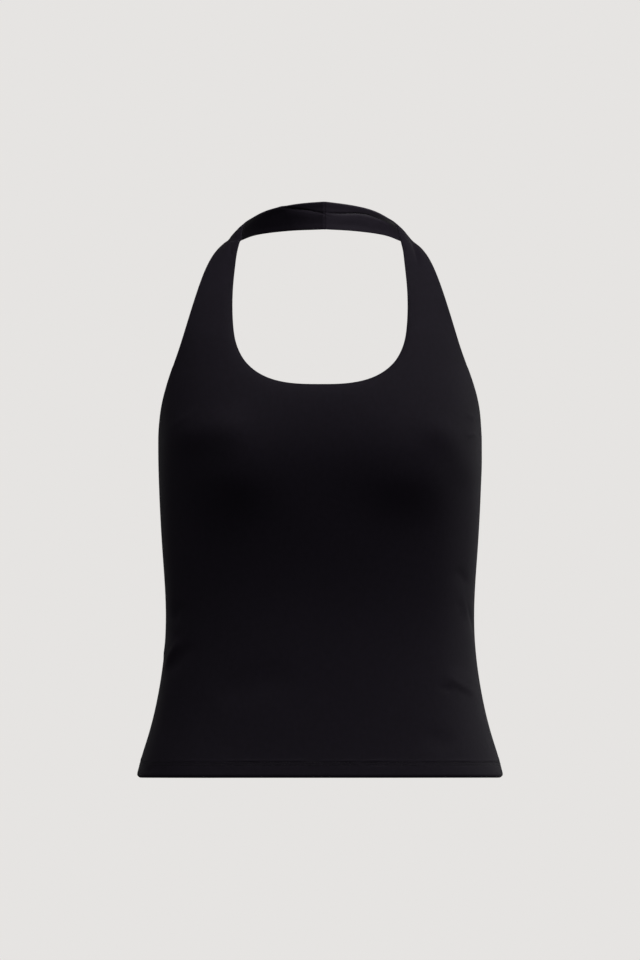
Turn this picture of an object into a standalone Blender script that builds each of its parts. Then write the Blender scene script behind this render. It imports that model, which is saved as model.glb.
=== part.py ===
"""A halter neck top in stretch jersey, as it hangs when worn, with nobody in it.

Two pieces are cut: the front, which carries both halter straps, and a low back. They are joined by two
side seams, and the straps meet in a seam at the nape. The origin is where the nape holds the top: the
middle of the neck band's inner face at the centre back. +Z is up, the front faces -Y, metres.

Inside this script lengths are millimetres. "drop" is the distance below the top of the neck band, x is
across from the centre line, and y is depth from the line of the side seams, negative to the front.
"""

from collections import namedtuple

import bpy
import numpy as np

MM = 0.001

# Cloth
WALL = 1.5
HEM_WALL = 2.5  # the turned-up hem doubles the cloth
HEM_TURN = 14.0
HEM_STEP = 1.2  # over which the hem's second layer ends
SEAM_GAP = 0.3

# Cut of the front
HEM_DROP = 548.2
HEM_RISE = 3.6  # of the front hem, at the centre
UNDERARM_DROP = 228.0
NECK_HALF_WIDTH = 82.4
NECK_WIDEST_DROP = 104.2
NECK_BOTTOM_DROP = 175.9
NECK_SQUARE = 2.8  # exponent of the scoop: 2 is an ellipse

# Cut of the back
BACK_TOP_DROP = 264.0

# The general figure's bust under the cloth, one each side
BUST_X, BUST_DROP = 92.0, 260.0
BUST_RISE = 10.0
BUST_REACH_ACROSS, BUST_REACH_UP, BUST_REACH_DOWN = 45.0, 56.0, 34.0

# The body of the top from the hem up to the underarm, ring by ring: half the ring's width, and how deep the
# back is behind the line of the side seams.
Body = namedtuple("Body", "drop width back")
BODY = [
    Body(548.2, 174.1, 121.0),
    Body(530.0, 169.6, 117.5),
    Body(505.0, 162.1, 111.5),
    Body(462.0, 152.4, 99.0),
    Body(422.0, 147.4, 89.0),
    Body(382.0, 146.7, 85.0),
    Body(332.0, 149.8, 91.0),
    Body(272.0, 152.9, 104.0),
    Body(242.0, 153.6, 108.5),
    Body(228.0, 153.6, 109.5),
]
BACK_SQUARE = 2.4  # exponent of the back's rings: 2 is an ellipse

# The front from the hem up into the strap: how deep it is, and the exponent of its rings.
Front = namedtuple("Front", "drop depth square")
FRONT = [
    Front(548.2, 116.0, 2.4),
    Front(505.0, 108.5, 2.4),
    Front(462.0, 101.5, 2.4),
    Front(422.0, 97.5, 2.4),
    Front(382.0, 97.0, 2.4),
    Front(332.0, 102.5, 2.4),
    Front(272.0, 113.0, 2.5),
    Front(236.0, 117.5, 2.75),
    Front(216.0, 116.5, 2.95),
    Front(192.0, 112.0, 3.0),
    Front(160.0, 101.0, 3.0),
    Front(120.0, 82.0, 3.0),
    Front(80.0, 56.0, 3.0),
]

# The armhole's edge in the view from the front, from the underarm to the strap's root. From the side it is
# a quarter of an ellipse, level at the side seam and upright at the strap's root.
Armhole = namedtuple("Armhole", "drop x")
ARMHOLE = [
    Armhole(228.0, 153.6),
    Armhole(213.0, 152.5),
    Armhole(196.0, 150.4),
    Armhole(179.0, 146.2),
    Armhole(160.7, 140.1),
]

# One strap, from its root to the nape seam: its inner edge, next to the neck, its outer edge, and how far
# its middle stands out from the straight line between them.
Strap = namedtuple("Strap", "inner_x inner_y inner_drop outer_x outer_y outer_drop camber")
STRAP = [
    Strap(67.6, -95.0, 157.1, 140.1, -60.0, 160.7, 0.0),
    Strap(76.9, -88.0, 142.2, 134.4, -61.5, 144.8, 0.0),
    Strap(81.2, -77.5, 123.2, 128.1, -59.5, 124.9, 0.0),
    Strap(82.4, -65.5, 101.2, 121.1, -53.0, 102.0, 1.0),
    Strap(81.9, -52.5, 81.1, 115.1, -42.0, 82.9, 1.3),
    Strap(80.4, -39.0, 63.9, 109.3, -28.0, 67.1, 1.5),
    Strap(78.8, -25.0, 50.1, 102.6, -10.5, 53.4, 1.7),
    Strap(76.2, -9.0, 38.0, 95.4, 7.5, 44.2, 1.7),
    Strap(74.0, 4.0, 28.5, 90.4, 20.0, 39.8, 1.4),
    Strap(72.2, 17.0, 21.9, 86.0, 31.0, 37.6, 1.2),
    Strap(66.3, 35.0, 16.5, 79.6, 45.0, 38.0, 1.0),
    Strap(56.0, 47.6, 10.5, 68.7, 57.0, 33.6, 0.8),
    Strap(37.8, 60.0, 4.4, 45.4, 70.5, 28.8, 0.5),
    Strap(19.1, 66.2, 1.2, 22.7, 77.0, 26.7, 0.5),
    Strap(0.0, 68.0, 0.0, 0.0, 79.0, 26.2, 0.5),
]
STRAP_OFF_CHEST = (130.0, 86.0)  # drops between which a strap leaves the chest's rings for its own edges

# Soft folds that show from a step away, as a line in the view from the front or the back. reach is how far
# the fold's side slopes, depth how far the cloth sinks along the line (negative: a ridge).
Fold = namedtuple("Fold", "panel x_start drop_start x_end drop_end reach depth")
FOLDS = [
    Fold("front", 106.0, 462.0, 153.0, 475.0, 8.0, 1.8),
    Fold("front", 112.0, 450.0, 153.0, 465.0, 8.0, -1.8),
    Fold("front", -121.0, 424.0, -148.0, 450.0, 7.0, 1.8),
    Fold("front", -132.0, 417.0, -149.0, 440.0, 7.0, -1.6),
    Fold("front", -100.0, 474.0, -22.0, 450.0, 16.0, 1.2),
    Fold("front", 96.0, 514.0, 128.0, 524.0, 10.0, 0.8),
    Fold("front", 126.0, 350.0, 143.0, 370.0, 7.0, 1.2),
    Fold("front", 138.0, 386.0, 147.0, 412.0, 7.0, 1.2),
    Fold("front", -132.0, 380.0, -142.0, 404.0, 8.0, 1.1),
    Fold("back", 40.0, 372.0, 140.0, 356.0, 13.0, 2.8),
    Fold("back", 28.0, 394.0, 138.0, 386.0, 12.0, 3.2),
    Fold("back", -36.0, 378.0, -140.0, 362.0, 13.0, 3.0),
    Fold("back", -24.0, 402.0, -140.0, 392.0, 12.0, 2.6),
    Fold("back", 60.0, 424.0, 142.0, 436.0, 14.0, 2.2),
    Fold("back", -66.0, 430.0, -144.0, 440.0, 13.0, 2.4),
]
SEAM_STILL = (0.5, 32.0)  # distances from the side seam over which the folds grow to their full depth

# Mesh: columns in half a panel, rows up it
CENTRE_COLUMNS = 6  # from the centre line to the strap's root
STRAP_CELLS = 9  # across a strap, and on down to the hem
CENTRE_SHARE = 0.36  # of the way round to the side seam that the centre columns take
BODY_ROW = 11.0
CHEST_ROWS = 8
STRAP_ROWS = 26
SIDE = CENTRE_COLUMNS + STRAP_CELLS
ARC_SAMPLES = 400

# Mount: the middle of the neck band's inner face at the nape
NAPE = STRAP[-1]
NAPE_Y = (NAPE.inner_y + NAPE.outer_y) / 2 - WALL
NAPE_DROP = (NAPE.inner_drop + NAPE.outer_drop) / 2

CLOTH_COLOUR = (0.006, 0.005, 0.007, 1.0)
CLOTH_ROUGHNESS = 0.6


def spline(knots, values):
    """A function that runs smoothly through one row of values at each knot, straight on at both ends."""
    knots = np.asarray(knots, float)
    values = np.asarray(values, float)
    gaps = np.diff(knots)
    slopes = np.diff(values, axis=0) / gaps[:, None]
    system = np.eye(len(knots))
    right = np.zeros_like(values)
    for i in range(1, len(knots) - 1):
        system[i, i - 1 : i + 2] = gaps[i - 1], 2 * (gaps[i - 1] + gaps[i]), gaps[i]
        right[i] = 6 * (slopes[i] - slopes[i - 1])
    bends = np.linalg.solve(system, right)

    def at(place):
        place = np.asarray(place, float)
        i = np.clip(np.searchsorted(knots, place) - 1, 0, len(gaps) - 1)
        gap = gaps[i][..., None]
        after = (place - knots[i])[..., None] / gap
        before = 1 - after
        curve = (before**3 - before) * bends[i] + (after**3 - after) * bends[i + 1]
        return before * values[i] + after * values[i + 1] + curve * gap**2 / 6

    return at


def table_spline(rows):
    """A spline over a table whose first column, drop, gets smaller from row to row."""
    table = np.array(rows[::-1])
    return spline(table[:, 0], table[:, 1:])


body_at = table_spline(BODY)
front_at = table_spline(FRONT)
ON_CHEST = STRAP[:6]  # stations of the strap that rise from the chest
edge_at = table_spline(ARMHOLE[:-1] + [(station.outer_drop, station.outer_x) for station in ON_CHEST])
strap_edge_y_at = table_spline([(station.outer_drop, station.outer_y) for station in ON_CHEST])


def smooth_step(low, high, value):
    share = np.clip((value - low) / (high - low), 0, 1)
    return share * share * (3 - 2 * share)


def bust(x, drop):
    """How far the bust pushes the cloth out."""
    across = (np.abs(x) - BUST_X) / BUST_REACH_ACROSS
    reach = np.where(drop < BUST_DROP, BUST_REACH_UP, BUST_REACH_DOWN)
    return BUST_RISE * np.exp(-(across**2) - ((drop - BUST_DROP) / reach) ** 2)


def armhole_y(drop):
    """How far before the side seam the cloth's outer edge is, above the underarm."""
    root = STRAP[0]
    if drop < root.outer_drop:
        return strap_edge_y_at(drop)[0]
    left = (drop - root.outer_drop) / (UNDERARM_DROP - root.outer_drop)
    return root.outer_y * np.sqrt(1 - left**2)


def ring_width(drop):
    """Half a ring's width. Above the underarm it is the ring of chest that meets the armhole's edge."""
    if drop >= UNDERARM_DROP:
        return body_at(drop)[0]
    edge_x = edge_at(drop)[0]
    depth, square = front_at(drop)
    depth += bust(edge_x, drop)
    return edge_x / (1 - (-armhole_y(drop) / depth) ** square) ** (1 / square)


def ring_depth(x, drop, panel):
    """y of the front or the back of the body at x across and drop down."""
    across = np.clip(np.abs(x) / ring_width(drop), 0, 1)
    if panel == "back":
        return body_at(drop)[1] * (1 - across**BACK_SQUARE) ** (1 / BACK_SQUARE)
    depth, square = front_at(drop)
    return -(depth + bust(x, drop)) * (1 - across**square) ** (1 / square)


def fold_sink(x, drop, panel):
    """How far the folds take the cloth in at a place."""
    sink = 0.0
    for fold in FOLDS:
        if fold.panel != panel:
            continue
        start = np.array((fold.x_start, fold.drop_start))
        along = np.array((fold.x_end, fold.drop_end)) - start
        offset = np.array((x, drop)) - start
        share = offset @ along / (along @ along)
        distance = np.linalg.norm(offset - np.clip(share, 0, 1) * along)
        fade = smooth_step(-0.15, 0.35, share) * smooth_step(1.15, 0.75, share)
        sink += fold.depth * fade * np.exp(-((distance / fold.reach) ** 2))
    return sink


def walk_across(drop, edge_x, panel):
    """x from the centre to an edge, and the share of the cloth's way there that each has behind it."""
    x = edge_x * np.sin(np.linspace(0, np.pi / 2, ARC_SAMPLES))
    y = ring_depth(x, drop, panel)
    walked = np.concatenate([[0], np.cumsum(np.hypot(np.diff(x), np.diff(y)))])
    return walked / walked[-1], x


def column_shares():
    """How far round from the centre to the side seam each column is."""
    centre = np.linspace(0, CENTRE_SHARE, CENTRE_COLUMNS + 1)
    side = np.linspace(CENTRE_SHARE, 1, STRAP_CELLS + 1)
    return np.concatenate([centre, side[1:]])


def round_ring(drop, panel):
    """x at each column from the centre to the side."""
    return np.interp(column_shares(), *walk_across(drop, ring_width(drop), panel))


def scoop_drop(x):
    """The neckline's drop at x, between the straps' roots."""
    share = (np.abs(x) / NECK_HALF_WIDTH) ** NECK_SQUARE
    depth = NECK_BOTTOM_DROP - NECK_WIDEST_DROP
    return NECK_WIDEST_DROP + depth * (1 - share) ** (1 / NECK_SQUARE)


def body_rows(top):
    """Drops of the rows from the hem up to a level drop, with two close ones where the hem's turn ends."""
    turn = [HEM_DROP, HEM_DROP - HEM_TURN / 2, HEM_DROP - HEM_TURN]
    above = HEM_DROP - HEM_TURN - HEM_STEP
    count = round((above - top) / BODY_ROW)
    return turn + list(np.linspace(above, top, count + 1))


def wall_at(drop):
    return HEM_WALL if drop > HEM_DROP - HEM_TURN - HEM_STEP / 2 else WALL


def hem_lift(drop, share):
    """The front hem's rise, fading out up the body; share is 1 at the centre and 0 at the side seam."""
    return HEM_RISE * share * smooth_step(HEM_DROP - 60, HEM_DROP, drop)


def body_point(x, drop, panel, column):
    """A point of the cloth's outer face, at the side seam set off from it by half the gap."""
    side = 1 if panel == "back" else -1
    if column == SIDE and drop >= UNDERARM_DROP:
        return (x, side * SEAM_GAP / 2, -drop)
    y = ring_depth(x, drop, panel)
    if panel == "front":
        drop = drop - hem_lift(drop, -y / front_at(drop)[0])
    return (x, y, -drop)


def panel_body(panel, top_of_column):
    """Points of half a panel's body, rows of columns, and the wall's thickness in each row.

    top_of_column gives each column's drop on the top row of the back panel; the front stops level."""
    rows, walls = [], []
    level = UNDERARM_DROP
    for drop in body_rows(level):
        climbed = (HEM_DROP - drop) / (HEM_DROP - level)
        x_at = round_ring(drop, panel)
        row = []
        for column in range(SIDE + 1):
            own = drop + (top_of_column[column] - level) * smooth_step(0.35, 1, climbed)
            x = ring_width(own) if column == SIDE else x_at[column]
            row.append(body_point(x, own, panel, column))
        rows.append(row)
        walls.append(wall_at(drop))
    return rows, walls


def chest_rows():
    """Points of the front from the row above the underarm to the scoop and the strap's root."""
    root = STRAP[0]
    across = np.linspace(0, 1, STRAP_CELLS + 1)[1:]
    scoop_x = root.inner_x * np.sin(np.linspace(0, np.pi / 2, CENTRE_COLUMNS + 1))
    root_x = root.inner_x + (root.outer_x - root.inner_x) * across
    root_drop = root.inner_drop + (root.outer_drop - root.inner_drop) * across
    top_x = np.concatenate([scoop_x, root_x])
    top_drop = np.concatenate([scoop_drop(scoop_x), root_drop])
    walked, x = walk_across(root.outer_drop, root.outer_x, "front")
    top_shares = np.interp(top_x, x, walked)
    rows = []
    for turn in np.linspace(0, np.pi / 2, CHEST_ROWS + 1)[1:]:
        climbed = 1 - np.cos(turn)
        edge_drop = UNDERARM_DROP + (root.outer_drop - UNDERARM_DROP) * climbed
        shares = column_shares() + (top_shares - column_shares()) * climbed
        row_x = np.interp(shares, *walk_across(edge_drop, edge_at(edge_drop)[0], "front"))
        row_drop = UNDERARM_DROP + (top_drop - UNDERARM_DROP) * climbed
        row_y = [ring_depth(x, drop, "front") for x, drop in zip(row_x, row_drop)]
        rows.append(list(zip(row_x, row_y, -row_drop)))
    return rows


def strap_rows():
    """Points of one strap from the row above its root to the nape seam."""
    stations = np.array(STRAP)
    middle = (stations[:, 0:3] + stations[:, 3:6]) / 2
    walked = np.concatenate([[0], np.cumsum(np.linalg.norm(np.diff(middle, axis=0), axis=1))])
    edges_at = spline(walked, stations)
    rows = []
    for place in np.linspace(0, walked[-1], STRAP_ROWS + 1)[1:]:
        station, ahead = edges_at(place), edges_at(place + 1)
        inner, outer, camber = station[0:3], station[3:6], station[6]
        forward = ahead[0:3] + ahead[3:6] - inner - outer
        outward = np.cross(forward, outer - inner)  # drop grows downwards, so this points out of the cloth
        outward /= np.linalg.norm(outward)
        row = []
        for across in np.linspace(0, 1, STRAP_CELLS + 1):
            bowed = camber * 4 * across * (1 - across)
            x, y, drop = inner + (outer - inner) * across + outward * bowed
            if y < 0:
                y += (ring_depth(x, drop, "front") - y) * smooth_step(*STRAP_OFF_CHEST[::-1], drop)
            row.append((max(x, SEAM_GAP / 2), y, -drop))
        rows.append(row)
    return rows


def grid_faces(numbers):
    """Quads between neighbouring rows and columns of a grid of point numbers, where all four are there."""
    faces = []
    for lower, upper in zip(numbers, numbers[1:]):
        for i in range(len(lower) - 1):
            corners = (lower[i], lower[i + 1], upper[i + 1], upper[i])
            if None not in corners:
                faces.append(corners)
    return faces


def outward_normals(points, faces):
    normals = np.zeros_like(points)
    for face in faces:
        a, b, c, d = points[list(face)]
        normals[list(face)] += np.cross(c - a, d - b)
    return normals


def cloth(name, points, walls, faces):
    """A closed wall behind an outer face, with an edge all round, as one object."""
    points = np.array(points)
    normals = outward_normals(points, faces)
    on_side_seam = np.isclose(np.abs(points[:, 1]), SEAM_GAP / 2)
    on_nape_seam = np.isclose(np.abs(points[:, 0]), SEAM_GAP / 2)
    normals[on_side_seam, 1] = 0
    normals[on_nape_seam, 0] = 0
    normals /= np.linalg.norm(normals, axis=1)[:, None]
    inner = points - normals * np.array(walls)[:, None]

    count = len(points)
    edges = {(a, b) for face in faces for a, b in zip(face, face[1:] + face[:1])}
    rim = [(b, a, a + count, b + count) for a, b in edges if (b, a) not in edges]
    lining = [tuple(count + i for i in reversed(face)) for face in faces]

    held = np.array((0.0, NAPE_Y, -NAPE_DROP))
    mesh = bpy.data.meshes.new(name)
    mesh.from_pydata((np.concatenate([points, inner]) - held) * MM, [], faces + lining + sorted(rim))
    mesh.shade_smooth()
    mesh.set_sharp_from_angle(angle=np.radians(50))
    mesh.materials.append(cloth_material(name))
    bpy.context.scene.collection.objects.link(bpy.data.objects.new(name, mesh))


def cloth_material(name):
    material = bpy.data.materials.new(name)
    material.use_nodes = True
    shader = material.node_tree.nodes["Principled BSDF"]
    shader.inputs["Base Color"].default_value = CLOTH_COLOUR
    shader.inputs["Roughness"].default_value = CLOTH_ROUGHNESS
    shader.inputs["Metallic"].default_value = 0.0
    return material


def both_sides(rows, first_column=0):
    """Rows across the whole panel from half rows, left to right, with None in the middle for a gap."""
    whole = []
    for row in rows:
        half = {column + first_column: point for column, point in enumerate(row)}
        line = []
        for column in range(-SIDE, SIDE + 1):
            point = half.get(abs(column))
            line.append(point and (point[0] * np.sign(column) if column else 0.0, *point[1:]))
        whole.append(line)
    return whole


def numbered(rows, walls):
    """The points in one list, each with its wall, and the grid of their numbers."""
    points, thick, numbers = [], [], []
    for row, wall in zip(rows, walls):
        line = []
        for point in row:
            line.append(None if point is None else len(points))
            if point is not None:
                points.append(point)
                thick.append(wall)
        numbers.append(line)
    return points, thick, numbers


def sink_folds(points, faces, panel):
    """Moves each point of the outer face inwards by the folds there, but keeps the seams where they are."""
    points = np.array(points)
    normals = outward_normals(points, faces)
    normals /= np.linalg.norm(normals, axis=1)[:, None]
    on_panel = (points[:, 1] < 0) if panel == "front" else (points[:, 1] > 0)
    for i in np.flatnonzero(on_panel):
        x, y, z = points[i]
        points[i] -= normals[i] * fold_sink(x, -z, panel) * smooth_step(*SEAM_STILL, abs(y))
    return points


def front_panel():
    body, walls = panel_body("front", np.full(SIDE + 1, UNDERARM_DROP))
    rows = both_sides(body + chest_rows()) + both_sides(strap_rows(), CENTRE_COLUMNS)
    walls += [WALL] * (CHEST_ROWS + STRAP_ROWS)
    points, thick, numbers = numbered(rows, walls)
    faces = grid_faces(numbers)
    cloth("front_panel", sink_folds(points, faces, "front"), thick, faces)


def back_panel():
    across = round_ring(UNDERARM_DROP, "back") / ring_width(UNDERARM_DROP)
    top = UNDERARM_DROP + (BACK_TOP_DROP - UNDERARM_DROP) * (1 - across**2)
    body, walls = panel_body("back", top)
    points, thick, numbers = numbered(both_sides(body), walls)
    faces = [face[::-1] for face in grid_faces(numbers)]
    cloth("back_panel", sink_folds(points, faces, "back"), thick, faces)


def clear_scene():
    for item in list(bpy.data.objects):
        bpy.data.objects.remove(item, do_unlink=True)


clear_scene()
front_panel()
back_panel()
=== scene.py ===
"""Looks for the halter neck top: jersey panels with lips, folds and sewing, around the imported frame.

Inside this script lengths of the cut are millimetres, as in the part's source. "drop" is the distance
below the top of the neck band, x is across from the centre line, and y is depth from the line of the side
seams, negative to the front. Left and right are those of the view from the front. Finished points are
moved to the row's frame, in metres, by to_row().
"""

from collections import namedtuple

import bpy
import numpy as np
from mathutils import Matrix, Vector
from mathutils.kdtree import KDTree

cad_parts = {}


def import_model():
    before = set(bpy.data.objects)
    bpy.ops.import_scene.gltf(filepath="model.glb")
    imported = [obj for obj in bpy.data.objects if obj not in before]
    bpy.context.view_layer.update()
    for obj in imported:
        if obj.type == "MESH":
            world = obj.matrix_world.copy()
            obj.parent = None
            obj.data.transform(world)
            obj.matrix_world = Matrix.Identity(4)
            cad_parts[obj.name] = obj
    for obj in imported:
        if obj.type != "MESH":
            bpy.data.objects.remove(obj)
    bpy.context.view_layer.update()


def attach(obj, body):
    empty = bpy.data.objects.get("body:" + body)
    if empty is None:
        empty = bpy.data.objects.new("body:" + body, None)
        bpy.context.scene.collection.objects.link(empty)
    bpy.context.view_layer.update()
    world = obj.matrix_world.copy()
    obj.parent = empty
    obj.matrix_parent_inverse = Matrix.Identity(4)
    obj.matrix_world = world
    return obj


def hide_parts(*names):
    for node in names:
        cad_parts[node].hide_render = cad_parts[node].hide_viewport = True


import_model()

MM = 0.001

# Cloth
WALL = 1.2
LIP = 0.75  # radius of a turned edge, where the cloth is double. The cut's outline includes it
LIP_REACH = (1.0, 6.0)  # distances from a turned edge over which the cloth thins to one layer
HEM_TURN = 14.0
HEM_THICKER = 0.9  # the second layer inside the turned-up hem
HEM_STEP = (1.6, 0.2)  # heights over the turned-up hem between which its second layer ends
SEAM_HALF = 0.5  # each panel's edge is this far from the side seam's line, so the two rolls press together

# Cut of the front
HEM_DROP = 548.2
HEM_RISE, HEM_RISE_HEIGHT = 3.6, 60.0  # of the front hem, at the centre, and how far up it is felt
HEM_CORNER_RISE, HEM_CORNER_HEIGHT = 1.8, 40.0  # of the hem at each side seam
HEM_CORNER_REACH = 15.0
UNDERARM_DROP = 228.0
NECK_HALF_WIDTH = 82.4
NECK_WIDEST_DROP = 104.2
NECK_BOTTOM_DROP = 175.9
NECK_SQUARE = 2.8  # exponent of the scoop: 2 is an ellipse

# Cut of the back
BACK_TOP_DROP = 264.0

# The general figure's bust under the cloth, one each side
BUST_X, BUST_DROP = 92.0, 260.0
BUST_RISE = 10.0
BUST_REACH_ACROSS, BUST_REACH_UP, BUST_REACH_DOWN = 45.0, 56.0, 34.0

# The body of the top from the hem up to the underarm: half a ring's width, and how deep the back is.
Body = namedtuple("Body", "drop width back")
BODY = [
    Body(548.2, 174.1, 121.0),
    Body(530.0, 169.6, 117.5),
    Body(505.0, 162.1, 111.5),
    Body(462.0, 152.4, 99.0),
    Body(422.0, 147.4, 89.0),
    Body(382.0, 146.7, 85.0),
    Body(332.0, 149.8, 91.0),
    Body(272.0, 152.9, 104.0),
    Body(242.0, 153.6, 108.5),
    Body(228.0, 153.6, 109.5),
]
BACK_SQUARE = 2.4  # exponent of the back's rings: 2 is an ellipse

# The front from the hem up into the strap: how deep it is, and the exponent of its rings.
Front = namedtuple("Front", "drop depth square")
FRONT = [
    Front(548.2, 116.0, 2.4),
    Front(505.0, 108.5, 2.4),
    Front(462.0, 101.5, 2.4),
    Front(422.0, 97.5, 2.4),
    Front(382.0, 97.0, 2.4),
    Front(332.0, 102.5, 2.4),
    Front(272.0, 113.0, 2.5),
    Front(236.0, 117.5, 2.75),
    Front(216.0, 116.5, 2.95),
    Front(192.0, 112.0, 3.0),
    Front(160.0, 101.0, 3.0),
    Front(120.0, 82.0, 3.0),
    Front(80.0, 56.0, 3.0),
]

# The armhole's edge in the view from the front, from the underarm to the strap's root.
Armhole = namedtuple("Armhole", "drop x")
ARMHOLE = [
    Armhole(228.0, 153.6),
    Armhole(213.0, 152.5),
    Armhole(196.0, 150.4),
    Armhole(179.0, 146.2),
    Armhole(160.7, 140.1),
]

# One strap from its root to the centre back: its inner edge, its outer edge, and how far it is bowed out.
Strap = namedtuple("Strap", "inner_x inner_y inner_drop outer_x outer_y outer_drop camber")
STRAP = [
    Strap(67.6, -95.0, 157.1, 140.1, -60.0, 160.7, 0.0),
    Strap(76.9, -88.0, 142.2, 134.4, -61.5, 144.8, 0.0),
    Strap(81.2, -77.5, 123.2, 128.1, -59.5, 124.9, 0.0),
    Strap(82.4, -65.5, 101.2, 121.1, -53.0, 102.0, 1.0),
    Strap(81.9, -52.5, 81.1, 115.1, -42.0, 82.9, 1.3),
    Strap(80.4, -39.0, 63.9, 109.3, -28.0, 67.1, 1.5),
    Strap(78.8, -25.0, 50.1, 102.6, -10.5, 53.4, 1.7),
    Strap(76.2, -9.0, 38.0, 95.4, 7.5, 44.2, 1.7),
    Strap(74.0, 4.0, 28.5, 90.4, 20.0, 39.8, 1.4),
    Strap(72.2, 17.0, 21.9, 86.0, 31.0, 37.6, 1.2),
    Strap(66.3, 35.0, 16.5, 79.6, 45.0, 38.0, 1.0),
    Strap(56.0, 47.6, 10.5, 68.7, 57.0, 33.6, 0.8),
    Strap(37.8, 60.0, 4.4, 45.4, 70.5, 28.8, 0.5),
    Strap(19.1, 66.2, 1.2, 22.7, 77.0, 26.7, 0.5),
    Strap(0.0, 68.0, 0.0, 0.0, 79.0, 26.2, 0.5),
]
STRAP_OFF_CHEST = (130.0, 86.0)  # drops between which a strap leaves the chest's rings for its own edges
NAPE_SEAM_X = 4.4

# Folds and creases, each a line through points of x and drop. reach is how far a fold's side slopes, and
# depth how far the cloth sinks along the line (negative: a ridge).
Fold = namedtuple("Fold", "panel reach depth points")
FOLDS = [
    # soft folds of the front, at the hip
    Fold("front", 8.0, -0.8, [(112, 447), (150, 462)]),
    Fold("front", 7.0, 1.2, [(-116, 418), (-130, 432), (-146, 451)]),
    Fold("front", 7.0, -1.2, [(-132, 414), (-149, 438)]),
    Fold("front", 16.0, 1.2, [(-100, 474), (-70, 460), (-22, 450)]),
    # from the underarm to the bust, where the cloth is taut
    Fold("front", 17.0, -3.0, [(-152, 231), (-128, 223), (-98, 218), (-58, 220)]),
    Fold("front", 3.0, -0.5, [(-142, 216), (-126, 208), (-110, 198)]),
    Fold("front", 14.0, -1.6, [(84, 212), (114, 222), (132, 244), (140, 278)]),
    Fold("front", 1.8, -0.4, [(136, 203), (148, 208)]),
    Fold("front", 1.8, -0.4, [(137, 225), (148, 222)]),
    # soft folds of the front, at the hem and the waist
    Fold("front", 10.0, 0.8, [(94, 510), (112, 511), (128, 520)]),
    Fold("front", 7.0, 0.5, [(126, 350), (143, 370)]),
    Fold("front", 7.0, 0.5, [(138, 386), (147, 412)]),
    Fold("front", 8.0, 1.0, [(-132, 380), (-142, 404)]),
    # soft folds of the back, at the waist, which the solids have too
    Fold("back", 13.0, 2.8, [(40, 372), (140, 356)]),
    Fold("back", 12.0, 3.2, [(28, 394), (138, 386)]),
    Fold("back", 13.0, 3.0, [(-36, 378), (-140, 362)]),
    Fold("back", 12.0, 2.6, [(-24, 402), (-140, 392)]),
    Fold("back", 14.0, 2.2, [(60, 424), (142, 436)]),
    Fold("back", 13.0, 2.4, [(-66, 430), (-144, 440)]),
    # fine creases of the front, at the waist and the hip
    Fold("front", 2.6, 0.5, [(127, 349), (133, 355), (140, 366)]),
    Fold("front", 1.1, 1.0, [(134, 372), (140, 388), (144.5, 402), (147.5, 424)]),
    Fold("front", 2.0, -0.7, [(134, 372), (138, 386), (141, 398)]),
    Fold("front", 2.0, 0.4, [(128, 381), (134, 388)]),
    Fold("front", 1.3, 0.9, [(108, 461), (116, 462), (120, 463), (126, 468)]),
    Fold("front", 2.0, -0.8, [(118, 451), (128, 457), (138, 463), (150, 470)]),
    Fold("front", 1.4, 0.4, [(124, 460), (134, 466), (142, 471)]),
    Fold("front", 3.4, 0.6, [(-138, 388), (-135, 398)]),
    Fold("front", 3.4, 0.4, [(-120, 420), (-127, 428), (-137, 441), (-144, 450)]),
    Fold("front", 2.2, -1.5, [(-131, 413), (-135.4, 422.7), (-142, 434), (-148, 449)]),
    Fold("front", 2.0, 0.7, [(-159, 538), (-163, 542)]),
    # where the straps bend over the shoulders
    Fold("front", 5.0, -1.0, [(72, 12), (78, 34), (82, 60)]),
    Fold("front", 2.6, 1.7, [(80, 14), (85, 31), (90, 45), (94, 66)]),
    Fold("front", 3.4, -1.0, [(-72, 20), (-82, 38)]),
    Fold("front", 2.4, 1.8, [(-96, 36), (-86, 37), (-79, 36), (-66, 34)]),
    Fold("front", 2.0, 0.9, [(-86, 36), (-85, 45), (-84, 56)]),
    # fine creases of the back, at the waist
    Fold("back", 5.0, 1.2, [(30, 362), (84, 352), (128, 338)]),
    Fold("back", 4.6, -1.0, [(44, 382), (96, 376), (140, 368)]),
    Fold("back", 4.2, 1.1, [(72, 404), (112, 408), (142, 416)]),
    Fold("back", 4.8, 1.3, [(-18, 388), (-70, 380), (-132, 372)]),
    Fold("back", 4.4, -0.9, [(-40, 412), (-90, 410), (-140, 404)]),
    Fold("back", 4.6, 1.0, [(-52, 352), (-96, 346), (-138, 336)]),
    Fold("back", 5.0, 0.9, [(-20, 446), (26, 440), (70, 446)]),
    Fold("back", 6.0, 0.9, [(-60, 292), (-110, 286), (-140, 270)]),
    Fold("back", 6.0, 0.8, [(54, 300), (104, 290), (142, 276)]),
    # the neck band, behind the neck
    Fold("band", 1.0, -1.1, [(-46, 4), (-17, 7), (-5, 9), (NAPE_SEAM_X, 12), (12, 15)]),
    Fold("band", 4.0, 0.4, [(-40, 10), (-16, 12), (-4, 14), (NAPE_SEAM_X, 17)]),
    Fold("band", 1.0, -1.2, [(-4, 9), (8, 10.5), (25, 11), (41, 11.5), (53, 15), (65, 20), (73, 25)]),
    Fold("band", 4.0, 0.4, [(6, 15), (25, 16), (40, 17), (52, 21), (64, 26)]),
    Fold("band", 0.8, 0.5, [(NAPE_SEAM_X, -12), (NAPE_SEAM_X, 40)]),
]
FOLD_GROWS, FOLD_ENDS = (-0.02, 0.35), (1.02, 0.7)  # shares of the way along over which a fold does so
FOLD_MARGIN = 3  # reaches past a fold's ends within which points are looked at
BAND_START = (4.0, 30.0)  # y over which the front's folds give way to the band's
NAPE_PULL, NAPE_PULL_REACH = 2.2, 9.0  # the nape seam pulls the band back to a point
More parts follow.
